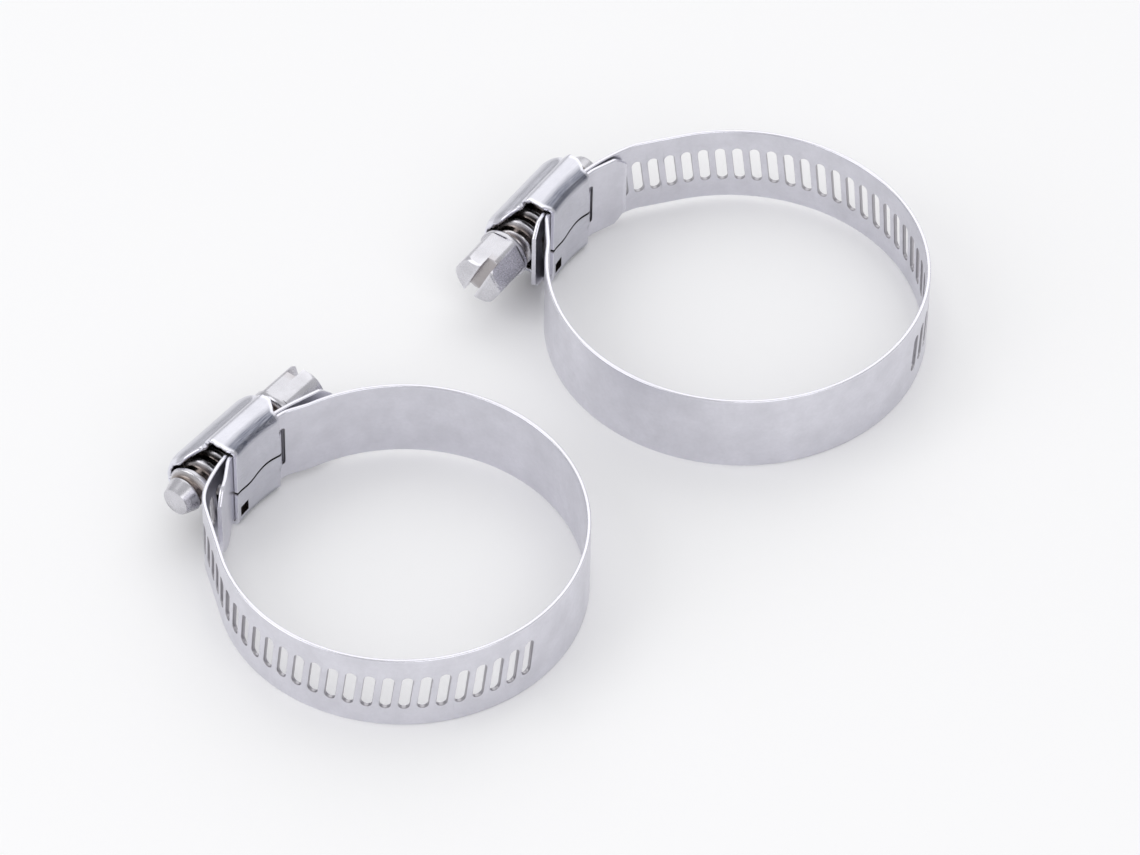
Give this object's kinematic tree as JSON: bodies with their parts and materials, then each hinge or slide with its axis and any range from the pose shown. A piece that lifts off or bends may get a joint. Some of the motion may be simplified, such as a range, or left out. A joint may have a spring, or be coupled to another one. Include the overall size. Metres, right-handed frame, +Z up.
{
  "type": "pair of worm-drive hose clamps",
  "caption": "Pair of worm-drive hose clamps: a slotted steel strip looped through a folded housing and drawn tight by a slotted hexagon-head screw.",
  "frame": {"origin": "centre of the pair's bounding box, on the floor it lies on", "axes": "+Z up, along the loops' axes; +X to the right and -Y towards the viewer of the picture"},
  "size_m": [0.1059, 0.1018, 0.0146],
  "materials": {
    "band_steel": "satin",
    "housing_steel": "satin",
    "screw_plating": "bright"
  },
  "bodies": {
    "clamp_1": {"housing_1": "housing_steel", "band_fixed_1": "band_steel"},
    "link_1a": {"band_link_1a": "band_steel"},
    "link_1b": {"band_link_1b": "band_steel"},
    "link_1c": {"band_link_1c": "band_steel"},
    "link_1d": {"band_link_1d": "band_steel"},
    "link_1e": {"band_link_1e": "band_steel"},
    "link_1f": {"band_link_1f": "band_steel"},
    "link_1g": {"band_link_1g": "band_steel"},
    "link_1h": {"band_link_1h": "band_steel"},
    "tail_1": {"band_tail_1": "band_steel"},
    "screw_1": {"screw_1": "screw_plating"},
    "clamp_2": {"housing_2": "housing_steel", "band_fixed_2": "band_steel"},
    "link_2a": {"band_link_2a": "band_steel"},
    "link_2b": {"band_link_2b": "band_steel"},
    "link_2c": {"band_link_2c": "band_steel"},
    "link_2d": {"band_link_2d": "band_steel"},
    "link_2e": {"band_link_2e": "band_steel"},
    "link_2f": {"band_link_2f": "band_steel"},
    "link_2g": {"band_link_2g": "band_steel"},
    "link_2h": {"band_link_2h": "band_steel"},
    "tail_2": {"band_tail_2": "band_steel"},
    "screw_2": {"screw_2": "screw_plating"}
  },
  "joints": [
    {"name": "bend_1a", "type": "hinge", "parent": "clamp_1", "child": "link_1a", "pos_m": [-0.00105, 0.02448, 0.00722], "axis": [0.0145, -0.0096, 0.9998], "range_deg": [-0.28, 0.79]},
    {"name": "bend_1b", "type": "hinge", "parent": "link_1a", "child": "link_1b", "pos_m": [0.00288, 0.0098, 0.00702], "axis": [0.0145, -0.0096, 0.9998], "range_deg": [-0.29, 0.84]},
    {"name": "bend_1c", "type": "hinge", "parent": "link_1b", "child": "link_1c", "pos_m": [0.0146, -0.00056, 0.00675], "axis": [0.0145, -0.0096, 0.9998], "range_deg": [-0.3, 0.87]},
    {"name": "bend_1d", "type": "hinge", "parent": "link_1c", "child": "link_1d", "pos_m": [0.0301, -0.0026, 0.0065], "axis": [0.0145, -0.0096, 0.9998], "range_deg": [-0.31, 0.89]},
    {"name": "bend_1e", "type": "hinge", "parent": "link_1d", "child": "link_1e", "pos_m": [0.0441, 0.00438, 0.00637], "axis": [0.0145, -0.0096, 0.9998], "range_deg": [-0.3, 0.87]},
    {"name": "bend_1f", "type": "hinge", "parent": "link_1e", "child": "link_1f", "pos_m": [0.05232, 0.02624, 0.00646], "axis": [0.0145, -0.0096, 0.9998], "range_deg": [-0.29, 0.82]},
    {"name": "bend_1g", "type": "hinge", "parent": "link_1f", "child": "link_1g", "pos_m": [0.04533, 0.04194, 0.00671], "axis": [0.0145, -0.0096, 0.9998], "range_deg": [-0.27, 0.77]},
    {"name": "bend_1h", "type": "hinge", "parent": "link_1g", "child": "link_1h", "pos_m": [0.03023, 0.05014, 0.00701], "axis": [0.0145, -0.0096, 0.9998], "range_deg": [-0.26, 0.74]},
    {"name": "bend_1_tail", "type": "hinge", "parent": "link_1h", "child": "tail_1", "pos_m": [0.01307, 0.04797, 0.00724], "axis": [0.0145, -0.0096, 0.9998], "range_deg": [-0.26, 0.74]},
    {"name": "screw_turn_1", "type": "hinge", "parent": "clamp_1", "child": "screw_1", "pos_m": [-0.00184, 0.03948, 0.00737], "axis": [0.5519, 0.8339, 0], "range_deg": [-180, 540]},
    {"name": "bend_2a", "type": "hinge", "parent": "clamp_2", "child": "link_2a", "pos_m": [-0.02885, -0.00192, 0.00722], "axis": [-0.0147, 0.0115, -0.9998], "range_deg": [-0.46, 0.68]},
    {"name": "bend_2b", "type": "hinge", "parent": "link_2a", "child": "link_2b", "pos_m": [-0.01465, -0.00105, 0.00702], "axis": [-0.0147, 0.0115, -0.9998], "range_deg": [-0.45, 0.66]},
    {"name": "bend_2c", "type": "hinge", "parent": "link_2b", "child": "link_2c", "pos_m": [-0.00197, -0.00838, 0.00675], "axis": [-0.0147, 0.0115, -0.9998], "range_deg": [-0.47, 0.7]},
    {"name": "bend_2d", "type": "hinge", "parent": "link_2c", "child": "link_2d", "pos_m": [0.00445, -0.02154, 0.0065], "axis": [-0.0147, 0.0115, -0.9998], "range_deg": [-0.53, 0.78]},
    {"name": "bend_2e", "type": "hinge", "parent": "link_2d", "child": "link_2e", "pos_m": [0.00241, -0.03604, 0.00637], "axis": [-0.0147, 0.0115, -0.9998], "range_deg": [-0.59, 0.87]},
    {"name": "bend_2f", "type": "hinge", "parent": "link_2e", "child": "link_2f", "pos_m": [-0.00863, -0.04763, 0.0064], "axis": [-0.0147, 0.0115, -0.9998], "range_deg": [-0.64, 0.94]},
    {"name": "bend_2g", "type": "hinge", "parent": "link_2f", "child": "link_2g", "pos_m": [-0.02562, -0.04994, 0.00662], "axis": [-0.0147, 0.0115, -0.9998], "range_deg": [-0.65, 0.97]},
    {"name": "bend_2h", "type": "hinge", "parent": "link_2g", "child": "link_2h", "pos_m": [-0.04011, -0.04078, 0.00694], "axis": [-0.0147, 0.0115, -0.9998], "range_deg": [-0.62, 0.92]},
    {"name": "bend_2_tail", "type": "hinge", "parent": "link_2h", "child": "tail_2", "pos_m": [-0.04653, -0.02465, 0.00722], "axis": [-0.0147, 0.0115, -0.9998], "range_deg": [-0.56, 0.82]},
    {"name": "screw_turn_2", "type": "hinge", "parent": "clamp_2", "child": "screw_2", "pos_m": [-0.0443, -0.00781, 0.00738], "axis": [-0.6157, -0.788, 0], "range_deg": [-360, 540]},
    {"name": "lift_off", "type": "slide", "parent": "clamp_1", "child": "clamp_2", "axis": [0, 0, 1], "range_m": [0, 0.05]}
  ],
  "couplings": [
    {"joint": "bend_1a", "follows": "screw_turn_1", "ratio": 0.0014348},
    {"joint": "bend_1b", "follows": "screw_turn_1", "ratio": 0.0015118},
    {"joint": "bend_1c", "follows": "screw_turn_1", "ratio": 0.0015758},
    {"joint": "bend_1d", "follows": "screw_turn_1", "ratio": 0.0016026},
    {"joint": "bend_1e", "follows": "screw_turn_1", "ratio": 0.0015829},
    {"joint": "bend_1f", "follows": "screw_turn_1", "ratio": 0.0014832},
    {"joint": "bend_1g", "follows": "screw_turn_1", "ratio": 0.0013978},
    {"joint": "bend_1h", "follows": "screw_turn_1", "ratio": 0.0013409},
    {"joint": "bend_1_tail", "follows": "screw_turn_1", "ratio": 0.0013332},
    {"joint": "bend_2a", "follows": "screw_turn_2", "ratio": 0.0012146},
    {"joint": "bend_2b", "follows": "screw_turn_2", "ratio": 0.0011922},
    {"joint": "bend_2c", "follows": "screw_turn_2", "ratio": 0.0012636},
    {"joint": "bend_2d", "follows": "screw_turn_2", "ratio": 0.0014063},
    {"joint": "bend_2e", "follows": "screw_turn_2", "ratio": 0.0015717},
    {"joint": "bend_2f", "follows": "screw_turn_2", "ratio": 0.0017121},
    {"joint": "bend_2g", "follows": "screw_turn_2", "ratio": 0.0017531},
    {"joint": "bend_2h", "follows": "screw_turn_2", "ratio": 0.0016627},
    {"joint": "bend_2_tail", "follows": "screw_turn_2", "ratio": 0.0014865}
  ]
}
